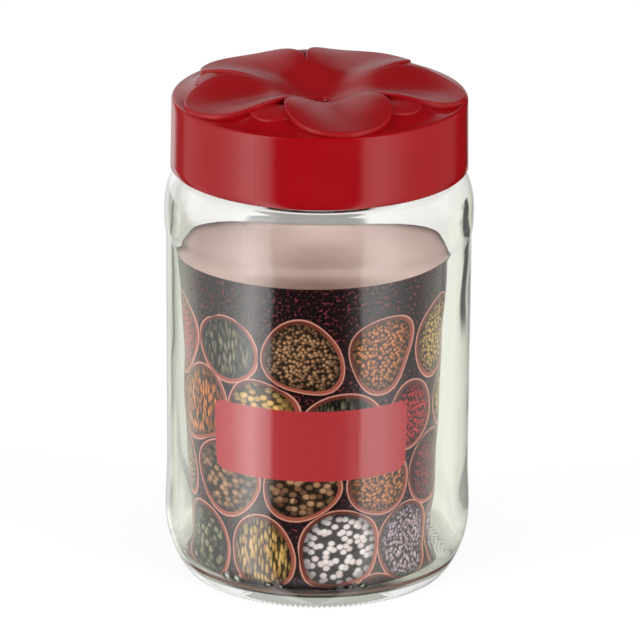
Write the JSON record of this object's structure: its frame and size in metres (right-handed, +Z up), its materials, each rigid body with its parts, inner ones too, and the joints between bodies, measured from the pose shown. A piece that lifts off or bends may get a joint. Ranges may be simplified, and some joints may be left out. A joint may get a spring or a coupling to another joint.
{
  "type": "spice jar",
  "caption": "Round glass storage jar with a recessed panel, a twist-off plastic lid with a flower relief, a ring seal and a rolled printed sheet inside.",
  "frame": {"origin": "centre of the base, on the surface that the jar stands on", "axes": "+Z up along the jar's axis, -Y towards the front of the print"},
  "size_m": [0.088, 0.088, 0.1462],
  "materials": {
    "clear_glass": "clear gloss",
    "red_plastic": "satin gloss",
    "soft_seal": "matte",
    "printed_sheet": "satin print"
  },
  "bodies": {
    "jar": {"jar_glass": "clear_glass", "print_sleeve": "printed_sheet"},
    "seal": {"lid_seal": "soft_seal"},
    "lid": {"lid_cap": "red_plastic"}
  },
  "joints": [
    {"name": "lid_lift", "type": "slide", "parent": "jar", "child": "seal", "axis": [0, 0, 1], "range_m": [0, 0.0241]},
    {"name": "lid_turn", "type": "hinge", "parent": "seal", "child": "lid", "pos_m": [0, 0, 0.1385], "axis": [0, 0, 1], "range_deg": [0, 480]}
  ],
  "couplings": [
    {"joint": "lid_lift", "follows": "lid_turn", "m_per_rad": 0.0028648}
  ]
}
